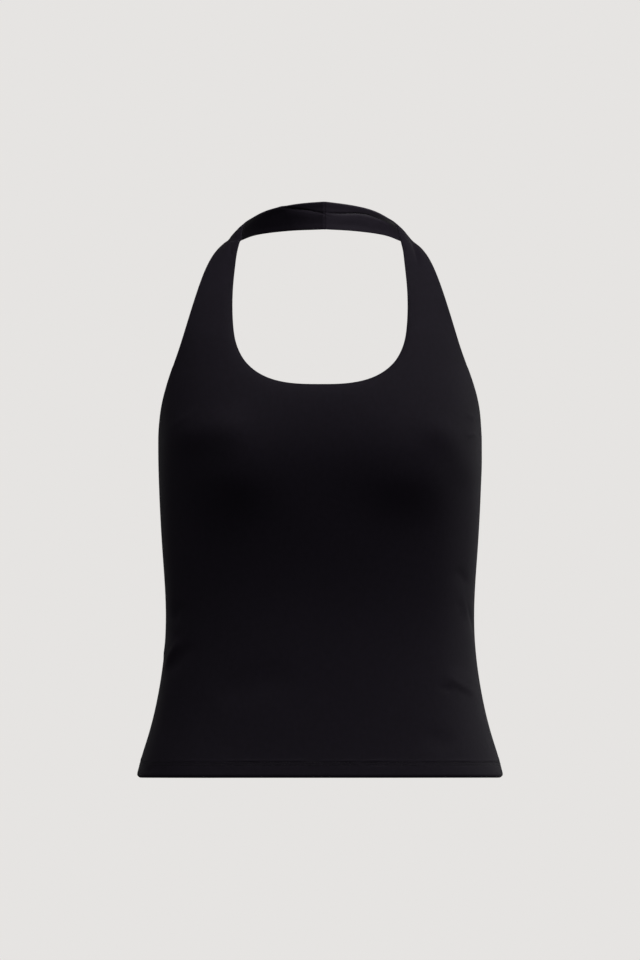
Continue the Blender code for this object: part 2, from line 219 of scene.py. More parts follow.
# Beside the armholes the cloth lies back towards the underarm, which leaves the view from the front as cut
HOLLOW_HEIGHT, HOLLOW_REACH = 28.0, 13.0
HOLLOW_LEFT, HOLLOW_LEFT_DROP = 6.5, 188.0
HOLLOW_RIGHT, HOLLOW_RIGHT_DROP = 5.0, 198.0
NECK_ROLL, NECK_ROLL_REACH = 2.6, 4.0  # the neckline's edge rolls back a little
NECK_ROLL_DROPS = (60.0, 120.0)  # over which the roll sets in, down from the shoulder
NECK_TILT = 0.55  # and so its lip stands this much lower
SEAM_STILL = (0.5, 16.0)  # distances from the side seam over which the folds grow to their full depth
UNDERARM_STILL = 16.0  # and the distance above the underarm, where there is no seam, over which they do
RIPPLE = 0.16  # slight unevenness all over
RIPPLE_OVER_HEM, RIPPLE_BESIDE_SEAM = (12.0, 60.0), (4.0, 40.0)  # distances over which it sets in

# Hem stitching: two rows of a twin needle, by their height over the fold of the hem
STITCH_ROWS = (12.0, 14.4)
STITCH_GROOVE, STITCH_GROOVE_REACH = 0.12, 0.75  # the rows are drawn in
STITCH_SWELL, STITCH_SWELL_HEIGHT, STITCH_SWELL_REACH = 0.2, 16.4, 1.3  # of the cloth over the rows
HEM_LIP, HEM_LIP_HEIGHT, HEM_LIP_REACH = 0.3, 1.6, 1.6  # the hem's fold stands out a little
SLOW_PULL, QUICK_PULL = 0.8, 0.4  # how uneven the thread's pull is along a row, as shares of it
HEM_ROUND = 3.0  # radius over which the hem draws in at its fold
HEM_SAG = 0.45  # and how much lower it hangs for that
HEM_FLARE, HEM_FLARE_RISE = 2.5, 38.0  # the hem stands off before and behind
LEFT_FLARE, LEFT_FLARE_RISE = 4.5, 75.0  # and more before the left hip
LEFT_FLARE_X, LEFT_FLARE_REACH = -125.0, 45.0
STITCH_PITCH, STITCH_LENGTH, STITCH_END = 2.9, 2.2, 2.0  # the rows end this far from the side seams
STITCH_AHEAD = 0.5  # distance to the place on the row that gives a stitch its direction
THREAD, THREAD_SIDES = 0.2, 6  # the thread's radius
THREAD_LIFT, THREAD_SUNK = 0.9, 0.1  # in radii: how high its middle lies, and how deep its ends go
STITCH_STATIONS = ((-0.5, 0.15), (-0.36, 0.85), (0.0, 1.0), (0.36, 0.85), (0.5, 0.15))  # along, how fat
HEM_RING = (174.0, 120.0)  # half the width and the depth of the hem, for which way is out

# Mesh of half a panel
CENTRE_COLUMNS = 26  # from the centre line to the strap's root
STRAP_CELLS = 44  # across a strap, and on down to the hem
CENTRE_SHARE = 0.36  # of the way round to the side seam that the centre columns take
SIDE = CENTRE_COLUMNS + STRAP_CELLS
HEM_ROW_LIFT = 0.3  # of the lowest row over HEM_DROP
HEM_ROWS = (0.0, 1.2, 3.0, 5.4, 7.8, 9.4)  # heights of the rows over the lowest
STITCHED_ROWS = np.arange(11.0, 19.1, 0.6)  # heights over HEM_DROP
BODY_ROW = 3.0
BEND_START = 0.35  # share of the way up from which the rows turn into the line of the back's top edge
CHEST_ROWS = 26
STRAP_ROWS = 140
NAPE_FINE, NAPE_ROW = 4.0, 0.4  # beside the nape seam the strap's rows are close
BELOW_ROOT = 0.8  # share of the root's x where the strap's curve starts, on the scoop
SCOOP_TO_ROOT = 4  # exponent: only the scoop's last stretch bends to meet the strap's root
RIM_STEPS = 5
ARC_SAMPLES = 400
FAR = 1000.0  # the height given to points above the body

# The row's origin: the middle of the neck band's inner face at the nape
PART_WALL = 1.5
NAPE = STRAP[-1]
NAPE_Y = (NAPE.inner_y + NAPE.outer_y) / 2 - PART_WALL
NAPE_DROP = (NAPE.inner_drop + NAPE.outer_drop) / 2


def to_row(points):
    """Points (x, y, -drop) in mm, moved to the row's frame in metres."""
    return (np.asarray(points, float) - (0.0, NAPE_Y, -NAPE_DROP)) * MM


# ---------------------------------------------------------------------------------------------- the form


def spline(knots, values):
    """A function that runs smoothly through one row of values at each knot, straight on at both ends."""
    knots = np.asarray(knots, float)
    values = np.asarray(values, float)
    gaps = np.diff(knots)
    slopes = np.diff(values, axis=0) / gaps[:, None]
    system = np.eye(len(knots))
    right = np.zeros_like(values)
    for i in range(1, len(knots) - 1):
        system[i, i - 1 : i + 2] = gaps[i - 1], 2 * (gaps[i - 1] + gaps[i]), gaps[i]
        right[i] = 6 * (slopes[i] - slopes[i - 1])
    bends = np.linalg.solve(system, right)

    def at(place):
        place = np.asarray(place, float)
        i = np.clip(np.searchsorted(knots, place) - 1, 0, len(gaps) - 1)
        gap = gaps[i][..., None]
        after = (place - knots[i])[..., None] / gap
        before = 1 - after
        curve = (before**3 - before) * bends[i] + (after**3 - after) * bends[i + 1]
        return before * values[i] + after * values[i + 1] + curve * gap**2 / 6

    return at


def table_spline(rows):
    """A spline over a table whose first column, drop, gets smaller from row to row."""
    table = np.array(rows[::-1])
    return spline(table[:, 0], table[:, 1:])


body_at = table_spline(BODY)
front_at = table_spline(FRONT)
ON_CHEST = STRAP[:6]  # stations of the strap that rise from the chest
edge_at = table_spline(ARMHOLE[:-1] + [(station.outer_drop, station.outer_x) for station in ON_CHEST])
strap_edge_y_at = table_spline([(station.outer_drop, station.outer_y) for station in ON_CHEST])


def smooth_step(low, high, value):
    """From 0 at low to 1 at high, smoothly, and level beyond both. low may be the larger one."""
    share = np.clip((value - low) / (high - low), 0, 1)
    return share * share * (3 - 2 * share)


def bust(x, drop):
    """How far the bust pushes the cloth out."""
    across = (np.abs(x) - BUST_X) / BUST_REACH_ACROSS
    reach = np.where(drop < BUST_DROP, BUST_REACH_UP, BUST_REACH_DOWN)
    return BUST_RISE * np.exp(-(across**2) - ((drop - BUST_DROP) / reach) ** 2)


def armhole_y(drop):
    """How far before the side seam the cloth's outer edge is, above the underarm."""
    root = STRAP[0]
    left = np.clip((drop - root.outer_drop) / (UNDERARM_DROP - root.outer_drop), 0, 1)
    on_strap = np.minimum(strap_edge_y_at(drop)[..., 0], 0)
    return np.where(drop < root.outer_drop, on_strap, root.outer_y * np.sqrt(1 - left**2))


def ring_width(drop):
    """Half a ring's width. Above the underarm it is the ring of chest that meets the armhole's edge."""
    drop = np.asarray(drop, float)
    edge_x = edge_at(np.minimum(drop, UNDERARM_DROP))[..., 0]
    depth, square = np.moveaxis(front_at(drop), -1, 0)
    depth = depth + bust(edge_x, drop)
    chest = edge_x / (1 - (-armhole_y(drop) / depth) ** square) ** (1 / square)
    return np.where(drop >= UNDERARM_DROP, body_at(drop)[..., 0], chest)


def ring_depth(x, drop, panel):
    """y of the front or the back of the body at x across and drop down."""
    across = np.clip(np.abs(x) / ring_width(drop), 0, 1)
    if panel == "back":
        return body_at(drop)[..., 1] * (1 - across**BACK_SQUARE) ** (1 / BACK_SQUARE)
    depth, square = np.moveaxis(front_at(drop), -1, 0)
    return -(depth + bust(x, drop)) * (1 - across**square) ** (1 / square)


def walk_across(drop, edge_x, panel):
    """x from the centre to an edge, and the way along the cloth that each has behind it, in mm."""
    x = edge_x * np.sin(np.linspace(0, np.pi / 2, ARC_SAMPLES))
    y = ring_depth(x, np.full_like(x, drop), panel)
    return np.concatenate([[0], np.cumsum(np.hypot(np.diff(x), np.diff(y)))]), x


def column_shares():
    """How far round from the centre to the side seam each column is."""
    centre = np.linspace(0, CENTRE_SHARE, CENTRE_COLUMNS + 1)
    side = np.linspace(CENTRE_SHARE, 1, STRAP_CELLS + 1)
    return np.concatenate([centre, side[1:]])


def scoop_drop(x, inset=LIP - NECK_TILT):
    """The neckline's drop at x, between the straps' roots, by default of the middle of its lip."""
    share = (np.abs(x) / (NECK_HALF_WIDTH + inset)) ** NECK_SQUARE
    depth = NECK_BOTTOM_DROP + inset - NECK_WIDEST_DROP
    return NECK_WIDEST_DROP + depth * (1 - share) ** (1 / NECK_SQUARE)


def body_rows():
    """Drops of the rows from the hem up to the underarm, close together over the hem's stitching."""
    hem = HEM_DROP - HEM_ROW_LIFT
    rows = [hem - height for height in HEM_ROWS]
    rows += list(HEM_DROP - STITCHED_ROWS)
    count = round((rows[-1] - UNDERARM_DROP) / BODY_ROW)
    return np.concatenate([rows, np.linspace(rows[-1], UNDERARM_DROP, count + 1)[1:]])


def panel_body(panel, top_of_column):
    """Points of half a panel's body. top_of_column gives each column's drop on the top row."""
    rows = []
    drops = body_rows()
    for drop in drops:
        climbed = (drops[0] - drop) / (drops[0] - UNDERARM_DROP)
        walked, x = walk_across(drop, ring_width(drop), panel)
        across = np.interp(column_shares() * walked[-1], walked, x) / x[-1]
        own = drop + (top_of_column - UNDERARM_DROP) * smooth_step(BEND_START, 1, climbed)
        row_x = across * ring_width(own)
        row_y = ring_depth(row_x, own, panel)
        flat = max(HEM_ROUND - (HEM_DROP - drop), 0)
        draw_in = 1 - (HEM_ROUND - np.sqrt(HEM_ROUND**2 - flat**2)) / row_x[-1]
        row_x, row_y = row_x * draw_in, row_y * draw_in
        row_y[-1] = SEAM_HALF if panel == "back" else -SEAM_HALF
        low = smooth_step(HEM_DROP - HEM_RISE_HEIGHT, HEM_DROP, drop)
        if panel == "front":
            own = own - HEM_RISE * -row_y / front_at(drop)[0] * low
        own = own + HEM_SAG * low
        corner = HEM_CORNER_RISE * np.exp(-((row_y / HEM_CORNER_REACH) ** 2))
        own = own - corner * smooth_step(HEM_DROP - HEM_CORNER_HEIGHT, HEM_DROP, drop)
        rows.append(np.stack([row_x, row_y, -own], axis=1))
    return rows


def strap_edges(station):
    """A strap's two edges, a lip's radius inside its finished ones."""
    inner, outer = station[0:3], station[3:6]
    width = np.linalg.norm(outer - inner)
    return inner + (outer - inner) * LIP / width, outer - (outer - inner) * LIP / width


def chest_rows():
    """Points of the front from the row above the underarm to the scoop and the strap's root."""
    root = STRAP[0]
    inner, outer = strap_edges(np.array(root))
    across = np.linspace(0, 1, STRAP_CELLS + 1)[1:]
    scoop_x = inner[0] * np.sin(np.linspace(0, np.pi / 2, CENTRE_COLUMNS + 1))
    to_root = inner[2] - scoop_drop(inner[0])
    scoop = scoop_drop(scoop_x) + to_root * (scoop_x / inner[0]) ** SCOOP_TO_ROOT
    top_x = np.concatenate([scoop_x, inner[0] + (outer[0] - inner[0]) * across])
    top_drop = np.concatenate([scoop, inner[2] + (outer[2] - inner[2]) * across])
    walked, x = walk_across(root.outer_drop, root.outer_x, "front")
    shares = column_shares()
    top_shares = np.interp(top_x, x, walked) / walked[-1]
    top_shares[-1] = 1 - LIP / walked[-1]
    rows = []
    for turn in np.linspace(0, np.pi / 2, CHEST_ROWS + 1)[1:]:
        round_climb, even_climb = 1 - np.cos(turn), turn / (np.pi / 2)
        climbed = even_climb + (round_climb - even_climb) * shares**2
        edge_drop = UNDERARM_DROP + (root.outer_drop - UNDERARM_DROP) * round_climb
        walked, x = walk_across(edge_drop, edge_at(edge_drop)[0], "front")
        row_shares = (shares + (top_shares - shares) * round_climb) * walked[-1]
        row_x = np.interp(np.minimum(row_shares, walked[-1] - LIP * np.sin(turn)), walked, x)
        row_drop = UNDERARM_DROP + (top_drop - UNDERARM_DROP) * climbed
        rows.append(np.stack([row_x, ring_depth(row_x, row_drop, "front"), -row_drop], axis=1))
    return rows


def strap_rows(past_nape):
    """Points of one strap from the row above its root to the nape seam, which is past_nape beyond x = 0."""
    below_x = BELOW_ROOT * STRAP[0].inner_x
    below_drop = scoop_drop(below_x, 0)
    armhole = ARMHOLE[-2]
    below = Strap(
        *(below_x, ring_depth(below_x, below_drop, "front"), below_drop),
        *(armhole.x, armhole_y(armhole.drop), armhole.drop),
        0.0,
    )
    beyond = np.array(STRAP[-4:-1][::-1])
    beyond[:, [0, 3]] *= -1
    stations = np.concatenate([[below], np.array(STRAP), beyond])
    middle = (stations[:, 0:3] + stations[:, 3:6]) / 2
    walked = np.concatenate([[0], np.cumsum(np.linalg.norm(np.diff(middle, axis=0), axis=1))])
    walked -= walked[1]
    edges_at = spline(walked, stations)
    end = walked[len(STRAP)] + past_nape
    coarse = np.linspace(0, end - NAPE_FINE, STRAP_ROWS + 1)[1:]
    fine = end + np.arange(NAPE_ROW - NAPE_FINE, NAPE_ROW / 4, NAPE_ROW)
    across = np.linspace(0, 1, STRAP_CELLS + 1)[:, None]
    rows = []
    for place in [*coarse, *fine]:
        station, ahead = edges_at(place), edges_at(place + 1)
        inner, outer = strap_edges(station)
        forward = ahead[0:3] + ahead[3:6] - station[0:3] - station[3:6]
        outward = np.cross(forward, outer - inner)  # drop grows downwards, so this points out of the cloth
        outward /= np.linalg.norm(outward)
        row = inner + (outer - inner) * across + outward * station[6] * 4 * across * (1 - across)
        on_chest = row[:, 1] < 0
        to_chest = ring_depth(row[:, 0], row[:, 2], "front") - row[:, 1]
        row[:, 1] += np.where(on_chest, to_chest, 0) * smooth_step(*STRAP_OFF_CHEST[::-1], row[:, 2])
        rows.append(row * (1, 1, -1))
    return rows


# ---------------------------------------------------------------------------------------------- the cloth


class Grid:
    """Points in rows, and the quads between them, outer face only."""

    def __init__(self):
        self.points = []
        self.faces = []
        self.count = 0

    def add_row(self, row):
        """Adds points and returns their numbers."""
        numbers = np.arange(self.count, self.count + len(row))
        self.points.append(row)
        self.count += len(row)
        return numbers

    def fill(self, rows):
        """Quads between each row of numbers and the next."""
        for lower, upper in zip(rows, rows[1:]):
            corners = (lower[:-1], lower[1:], upper[1:], upper[:-1])
            self.faces += [tuple(int(i) for i in quad) for quad in zip(*corners)]

    def all_points(self):
        """The points in the order of their numbers."""
        return np.concatenate(self.points)


def whole_row(half):
    """A row across the panel from its right half."""
    return np.concatenate([half[:0:-1] * (-1, 1, 1), half])


def normals_of(points, faces):
    """The way out of the cloth at each point."""
    corners = points[np.array(faces)]
    area = np.cross(corners[:, 2] - corners[:, 0], corners[:, 3] - corners[:, 1])
    normals = np.zeros_like(points)
    for k in range(4):
        np.add.at(normals, np.array(faces)[:, k], area)
    return normals / np.linalg.norm(normals, axis=1)[:, None]


def distance_to(points, line):
    """Each point's distance from a smooth line through the places given, and its share of the way along."""
    line = np.array(line, float)
    knots = np.concatenate([[0], np.cumsum(np.linalg.norm(np.diff(line, axis=0), axis=1))])
    dense = spline(knots, line)(np.linspace(0, knots[-1], 6 * len(line)))
    start, along = dense[:-1], np.diff(dense, axis=0)
    offset = points[:, None, :] - start[None]
    share = np.clip((offset * along).sum(2) / (along * along).sum(1), 0, 1)
    away = np.linalg.norm(offset - share[..., None] * along, axis=2)
    nearest = away.argmin(axis=1)
    every = np.arange(len(points))
    return away[every, nearest], (nearest + share[every, nearest]) / len(along)


def above_underarm(points):
    """0 up to the underarm, and 1 from a little above it, where the front has no side seam to hold it."""
    return smooth_step(UNDERARM_DROP, UNDERARM_DROP - UNDERARM_STILL, -points[:, 2])


def sink_folds(points, faces, panels):
    """Sinks the folds into the outer face, along its normals, and keeps the side seams where they are."""
    normals = normals_of(points, faces)
    sink = np.zeros(len(points))
    on_band = smooth_step(*BAND_START, points[:, 1]) * ("band" in panels)
    for fold in FOLDS:
        if fold.panel not in panels:
            continue
        flat = points[:, [0, 2]] * (1, -1)
        low = np.min(fold.points, axis=0) - FOLD_MARGIN * fold.reach
        high = np.max(fold.points, axis=0) + FOLD_MARGIN * fold.reach
        where = np.flatnonzero(((flat > low) & (flat < high)).all(axis=1))
        distance, share = distance_to(flat[where], fold.points)
        fade = smooth_step(*FOLD_GROWS, share) * smooth_step(*FOLD_ENDS, share)
        own = on_band if fold.panel == "band" else 1 - on_band
        sink[where] += fold.depth * fade * own[where] * np.exp(-((distance / fold.reach) ** 2))
    above = above_underarm(points) * ("front" in panels)
    still = np.maximum(smooth_step(*SEAM_STILL, np.abs(points[:, 1])), above)
    sink -= on_band * NAPE_PULL * np.exp(-np.abs(points[:, 0] - NAPE_SEAM_X) / NAPE_PULL_REACH)
    return points - normals * (sink * still)[:, None]


def stand_off(points):
    """Sets the hem forward at the front and back at the back, and the front's left hip forward."""
    x, y, drop = points[:, 0], points[:, 1], -points[:, 2]
    off = HEM_FLARE * smooth_step(HEM_DROP - HEM_FLARE_RISE, HEM_DROP + HEM_FLARE_RISE / 2, drop)
    left = np.exp(-(((x - LEFT_FLARE_X) / LEFT_FLARE_REACH) ** 2)) * (y < 0)
    off += LEFT_FLARE * left * smooth_step(HEM_DROP - LEFT_FLARE_RISE, HEM_DROP + LEFT_FLARE_RISE / 2, drop)
    off *= smooth_step(*SEAM_STILL, np.abs(y)) * np.sign(y)
    return np.stack([x, y + off, -drop], axis=1)


def lay_back(points):
    """Sets the front's cloth back beside the armholes, more on the left than on the right."""
    x, y, drop = points[:, 0], points[:, 1], -points[:, 2]
    inside = edge_at(np.clip(drop, STRAP[5].outer_drop, UNDERARM_DROP))[:, 0] - np.abs(x)
    centre = np.where(x < 0, HOLLOW_LEFT_DROP, HOLLOW_RIGHT_DROP)
    near = np.exp(-np.abs(inside) / HOLLOW_REACH - ((drop - centre) / HOLLOW_HEIGHT) ** 2)
    depth = np.where(x < 0, HOLLOW_LEFT, HOLLOW_RIGHT) * near * above_underarm(points)
    return np.stack([x, y + depth, -drop], axis=1)


def distance_from(points, numbers):
    """Each point's distance from the nearest of the numbered points."""
    tree = KDTree(len(numbers))
    for k, i in enumerate(numbers):
        tree.insert(points[i], k)
    tree.balance()
    return np.array([tree.find(point)[2] for point in points])


def border_points(faces):
    """The numbers of the points on the border."""
    return np.array(sorted({i for edge in border_of(faces) for i in edge}))


def roll_neckline(points, faces):
    """Sets the front's cloth back at the neckline's edge."""
    border = border_points(faces)
    x, y, drop = points[border, 0], points[border, 1], -points[border, 2]
    within = (np.abs(x) < NECK_HALF_WIDTH + 2 * LIP) & (drop < NECK_BOTTOM_DROP + 2 * LIP)
    neckline = border[within & (y < -2 * WALL)]
    back = NECK_ROLL * np.exp(-distance_from(points, neckline) / NECK_ROLL_REACH)
    return points + (0, 1, 0) * (back * smooth_step(*NECK_ROLL_DROPS, -points[:, 2]))[:, None]


def ripple(points, faces):
    """Slight unevenness all over, fading at the edges of the body. Its waves' lengths don't repeat."""
    normals = normals_of(points, faces)
    x, y, z = points.T
    wave = np.sin(x / 23 + z / 41) * np.sin(z / 29 - x / 67) + 0.6 * np.sin(x / 13 - z / 17 + 1.3)
    fade = smooth_step(*RIPPLE_OVER_HEM, HEM_DROP + z) * smooth_step(*RIPPLE_BESIDE_SEAM, np.abs(y))
    return points - normals * (RIPPLE * wave * fade)[:, None]


def draw_in_stitching(points, faces, height):
    """The rows of stitching pull the cloth in, unevenly, and it swells a little beside them."""
    normals = normals_of(points, faces)
    x, y = points[:, 0], points[:, 1]
    tight = 1 + SLOW_PULL * np.sin(x / 9.7 + y / 15) * np.sin(x / 23.0 + 1.9)
    tight += QUICK_PULL * np.sin(x / 3.7 - y / 6 + 0.6)
    sink = np.zeros(len(points))
    for row in STITCH_ROWS:
        sink += STITCH_GROOVE * tight * np.exp(-(((height - row) / STITCH_GROOVE_REACH) ** 2))
    sink -= STITCH_SWELL * tight * np.exp(-(((height - STITCH_SWELL_HEIGHT) / STITCH_SWELL_REACH) ** 2))
    sink -= HEM_LIP * np.exp(-(((height - HEM_LIP_HEIGHT) / HEM_LIP_REACH) ** 2))
    return points - normals * sink[:, None]


def border_of(faces):
    """The edges that only one face has, each a pair of numbers in that face's order."""
    edges = {(a, b) for face in faces for a, b in zip(face, face[1:] + face[:1])}
    return sorted((a, b) for a, b in edges if (b, a) not in edges)


def rolled_cloth(name, points, thickness, faces):
    """A closed shell behind an outer face, with rolled edges all round, as one object."""
    normals = normals_of(points, faces)
    count = len(points)
    border = border_of(faces)
    beyond = np.zeros_like(points)
    for a, b in border:
        way = np.cross(points[b] - points[a], normals[a] + normals[b])
        beyond[a] += way
        beyond[b] += way
    on_border = border_points(faces)
    beyond = beyond[on_border] / np.linalg.norm(beyond[on_border], axis=1)[:, None]
    half = thickness[on_border, None] / 2
    middle = points[on_border] - normals[on_border] * half

    rings = [on_border]
    made = [points, points - normals * thickness[:, None]]
    start = 2 * count
    for step in range(1, RIM_STEPS):
        angle = np.pi * step / RIM_STEPS
        made.append(middle + half * (np.cos(angle) * normals[on_border] + np.sin(angle) * beyond))
        rings.append(np.arange(start, start + len(on_border)))
        start += len(on_border)
    rings.append(on_border + count)

    place = {int(number): k for k, number in enumerate(on_border)}
    rim = []
    for a, b in border:
        i, j = place[a], place[b]
        for near, far in zip(rings, rings[1:]):
            rim.append(tuple(int(number) for number in (near[j], near[i], far[i], far[j])))
    lining = [tuple(count + i for i in reversed(face)) for face in faces]
    mesh = bpy.data.meshes.new(name)
    mesh.from_pydata(to_row(np.concatenate(made)), [], faces + lining + rim)
    mesh.shade_smooth()
    return link(name, mesh)


def link(name, mesh):
    """Puts a mesh in the scene as an object, which it returns."""
    item = bpy.data.objects.new(name, mesh)
    bpy.context.scene.collection.objects.link(item)
    return item


def wall_thickness(points, faces):
    """The wall's thickness at each point, more in the turned-up hem and at the turned edges."""
    border = border_points(faces)
    drop, depth = -points[border, 2], np.abs(points[border, 1])
    turned = border[(drop < UNDERARM_DROP - 1) | ((drop < HEM_DROP - HEM_TURN) & (depth > 2 * SEAM_HALF))]
    away = distance_from(points, turned)
    turn_drop = HEM_DROP - HEM_TURN
    hem = HEM_THICKER * smooth_step(turn_drop - HEM_STEP[0], turn_drop - HEM_STEP[1], -points[:, 2])
    return WALL + hem + (2 * LIP - WALL) * (1 - smooth_step(*LIP_REACH, away))


def front_cloth():
    """The front's mesh, and the rows of numbers in its body, for the stitching to follow."""
    grid = Grid()
    body = [grid.add_row(whole_row(row)) for row in panel_body("front", np.full(SIDE + 1, UNDERARM_DROP))]
    chest = [grid.add_row(whole_row(row)) for row in chest_rows()]
    grid.fill(body + chest)
    root = chest[-1]
    right = [grid.add_row(row) for row in strap_rows(-NAPE_SEAM_X)]
    left = [grid.add_row(row * (-1, 1, 1)) for row in strap_rows(NAPE_SEAM_X)[:-1]]
    grid.fill([root[SIDE + CENTRE_COLUMNS :], *right, *left[::-1], root[STRAP_CELLS::-1]])
    return grid, body


def back_cloth():
    """The back's mesh, and the rows of numbers in its body, for the stitching to follow."""
    width = ring_width(UNDERARM_DROP)
    walked, x = walk_across(UNDERARM_DROP, width, "back")
    across = np.interp(column_shares() * walked[-1], walked, x) / width
    top = UNDERARM_DROP + LIP + (BACK_TOP_DROP - UNDERARM_DROP) * (1 - across**2)
    grid = Grid()
    body = [grid.add_row(whole_row(row)[::-1]) for row in panel_body("back", top)]
    grid.fill(body)
    return grid, body


def finish_panel(name, grid, body, panels):
    """Sinks folds, unevenness and stitching in, and makes the shell. Returns it and its hem's rows."""
    faces = grid.faces
    points = stand_off(grid.all_points())
    if "front" in panels:
        points = roll_neckline(lay_back(points), faces)
    points = ripple(sink_folds(points, faces, panels), faces)
    height = np.full(len(points), FAR)
    for numbers, drop in zip(body, body_rows()):
        height[numbers] = HEM_DROP - drop
    points = draw_in_stitching(points, faces, height)
    seats = []
    for row in STITCH_ROWS:
        nearest = np.abs(HEM_DROP - body_rows() - row).argmin()
        seats.append(points[body[nearest]])
    return rolled_cloth(name, points, wall_thickness(points, faces), faces), seats


def stitches(name, seats):
    """Short threads along each line of points."""
    ring = np.linspace(0, 2 * np.pi, THREAD_SIDES + 1)[:-1]
    vertices, faces = [], []
    for line in seats:
        walked = np.concatenate([[0], np.cumsum(np.linalg.norm(np.diff(line, axis=0), axis=1))])
        for place in np.arange(STITCH_END, walked[-1] - STITCH_END, STITCH_PITCH):
            at = np.array([np.interp(place, walked, line[:, k]) for k in range(3)])
            ahead = np.array([np.interp(place + STITCH_AHEAD, walked, line[:, k]) for k in range(3)])
            along = (ahead - at) / np.linalg.norm(ahead - at)
            out = np.array((at[0] / HEM_RING[0], at[1] / HEM_RING[1], 0.0))
            out -= along * (out @ along)
            out /= np.linalg.norm(out)
            aside = np.cross(along, out)
            first = len(vertices)
            for share, fat in STITCH_STATIONS:
                lift = THREAD_LIFT * fat - THREAD_SUNK
                centre = at + along * share * STITCH_LENGTH + out * THREAD * lift
                for angle in ring:
                    vertices.append(centre + THREAD * fat * (np.cos(angle) * out + np.sin(angle) * aside))
            for low in range(first, len(vertices) - THREAD_SIDES, THREAD_SIDES):
                high = low + THREAD_SIDES
                for i in range(THREAD_SIDES):
                    j = (i + 1) % THREAD_SIDES
                    faces.append((low + i, low + j, high + j, high + i))
            faces.append(tuple(range(first, first + THREAD_SIDES))[::-1])
            faces.append(tuple(range(len(vertices) - THREAD_SIDES, len(vertices))))
    mesh = bpy.data.meshes.new(name)
    mesh.from_pydata(to_row(np.array(vertices)), [], faces)
    mesh.shade_smooth()
    return link(name, mesh)


# ---------------------------------------------------------------------------------------------- materials

JERSEY_COLORS = ((0.0110, 0.0084, 0.0141, 1), (0.0128, 0.0098, 0.0165, 1))  # darkest and lightest
THREAD_COLORS = ((0.006, 0.0055, 0.0075, 1), (0.012, 0.011, 0.014, 1))


def jersey():
    """Black stretch jersey: dull, with a soft sheen at grazing angles and a fine knit."""
    material = bpy.data.materials.new("jersey")
    material.use_nodes = True
    nodes, links = material.node_tree.nodes, material.node_tree.links
    shader = nodes["Principled BSDF"]
    shader.inputs["Roughness"].default_value = 0.7
    shader.inputs["Specular IOR Level"].default_value = 0.12
    shader.inputs["Sheen Weight"].default_value = 0.03
    shader.inputs["Sheen Roughness"].default_value = 0.3

    where = nodes.new("ShaderNodeTexCoord")
    stretch = nodes.new("ShaderNodeMapping")
    stretch.inputs["Scale"].default_value = (1.0, 1.0, 0.7)
    links.new(where.outputs["Object"], stretch.inputs["Vector"])

    mottle = nodes.new("ShaderNodeTexNoise")
    mottle.inputs["Scale"].default_value = 260.0
    mottle.inputs["Detail"].default_value = 3.0
    links.new(stretch.outputs["Vector"], mottle.inputs["Vector"])
    tint = nodes.new("ShaderNodeValToRGB")
    for stop, place, color in zip(tint.color_ramp.elements, (0.3, 0.7), JERSEY_COLORS):
        stop.position = place
        stop.color = color
    links.new(mottle.outputs["Fac"], tint.inputs["Fac"])
    links.new(tint.outputs["Color"], shader.inputs["Base Color"])

    wales = nodes.new("ShaderNodeTexNoise")
    wales.inputs["Scale"].default_value = 1900.0
    wales.inputs["Detail"].default_value = 2.0
    links.new(stretch.outputs["Vector"], wales.inputs["Vector"])
    bump = nodes.new("ShaderNodeBump")
    bump.inputs["Strength"].default_value = 0.06
    bump.inputs["Distance"].default_value = 0.0002
    links.new(wales.outputs["Fac"], bump.inputs["Height"])
    links.new(bump.outputs["Normal"], shader.inputs["Normal"])
    return material


def thread():
    """Black polyester thread, a little shinier than the jersey."""
    material = bpy.data.materials.new("thread")
    material.use_nodes = True
    nodes, links = material.node_tree.nodes, material.node_tree.links
    shader = nodes["Principled BSDF"]
    shader.inputs["Roughness"].default_value = 0.5
    shader.inputs["Specular IOR Level"].default_value = 0.35
    twist = nodes.new("ShaderNodeTexNoise")
    twist.inputs["Scale"].default_value = 2400.0
    tint = nodes.new("ShaderNodeValToRGB")
    for stop, color in zip(tint.color_ramp.elements, THREAD_COLORS):
        stop.color = color
    where = nodes.new("ShaderNodeTexCoord")
    links.new(where.outputs["Object"], twist.inputs["Vector"])
    links.new(twist.outputs["Fac"], tint.inputs["Fac"])
    links.new(tint.outputs["Color"], shader.inputs["Base Color"])
    return material


# ---------------------------------------------------------------------------------------- stage and camera

CAMERA_AWAY = 9.0  # from the line of the side seams
CAMERA_DROP = 266.0
CAMERA_LENS = 355.3
BACKGROUND = (0.791, 0.776, 0.761, 1)
AMBIENT = 0.07
FLOOR_Z, FLOOR_RADIUS, FLOOR_CORNERS = -1.6, 14.0, 96
FLOOR_SHADE, FLOOR_GLOW = 0.2, 0.93  # shares of the backdrop's colour: its own, and what it gives out

# Azimuth is degrees to the right of the front, elevation degrees up, and sizes are metres.
Light = namedtuple("Light", "name azimuth elevation away width height watts")
LIGHTS = [
    Light("key", 14, 64, 2.6, 1.2, 1.0, 22.5),
    Light("right", 67, 37, 2.6, 1.0, 1.0, 20),
    Light("behind_right", 115, 15, 2.6, 0.7, 1.2, 13.5),
    Light("edge_right", 148, 9, 2.6, 0.4, 1.6, 2.4),
    Light("front_left", -45, 25, 2.6, 1.0, 1.0, 7),
    Light("behind_left", -110, 45, 2.6, 0.8, 1.0, 3),
    Light("edge_left", -150, 8, 2.6, 0.4, 1.6, 0.9),
]
LIGHTS_AIM = (0.0, -0.1, -0.25)

# A narrow spot from the front left, on the inner face of the neck band on the right
BAND_WATTS, BAND_COLOR = 200, (0.97, 1.0, 0.92)
BAND_CONE, BAND_BLEND, BAND_SOFT = 3.5, 0.5, 0.02  # degrees across, share that fades, radius of the lamp
BAND_AIM = (0.038, -0.016, -0.006)
BAND_AZIMUTH, BAND_ELEVATION, BAND_AWAY = -47, 28, 1.8


